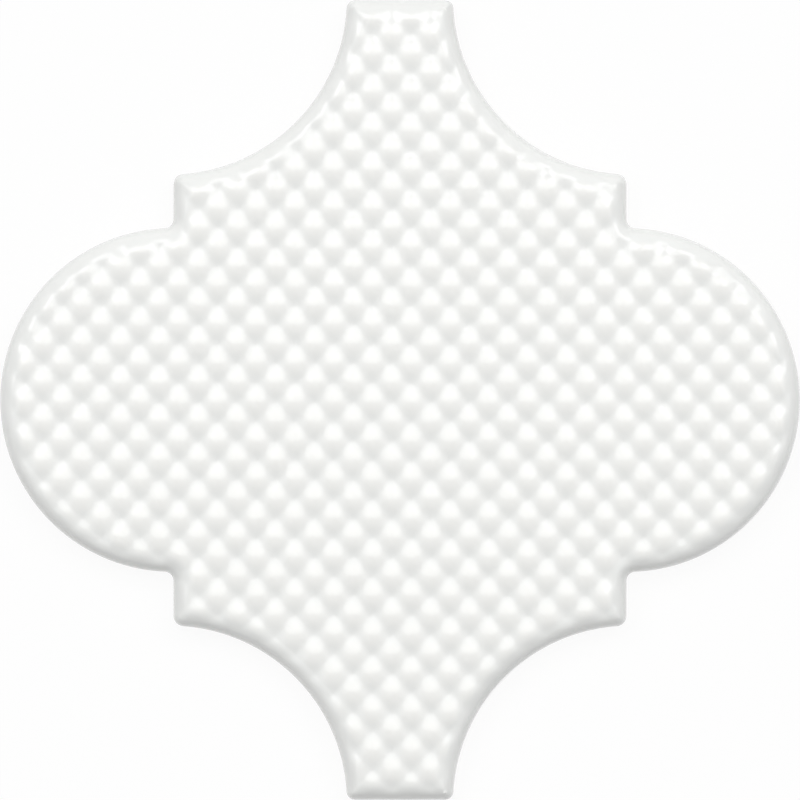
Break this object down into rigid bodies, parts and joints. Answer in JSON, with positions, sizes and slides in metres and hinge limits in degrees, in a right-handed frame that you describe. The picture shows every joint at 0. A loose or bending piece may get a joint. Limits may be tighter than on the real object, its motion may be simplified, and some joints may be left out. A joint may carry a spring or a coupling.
{
  "type": "arabesque wall tile",
  "caption": "Lantern-shaped ceramic wall tile with round side lobes, stepped shoulders, narrow flat tips, a fine wavy relief under glossy white glaze, a rolled rim and a keyed back.",
  "frame": {"origin": "centre of the tile's outline, on the plane of its back", "axes": "+X towards one round lobe, +Y towards one tip, +Z out of the glazed face"},
  "size_m": [0.15, 0.15, 0.009],
  "materials": {
    "glazed_earthenware": "glossy warm-white glaze over pressed clay, bare matt clay on the back"
  },
  "bodies": {
    "root": {"tile": "glazed_earthenware"}
  },
  "joints": []
}
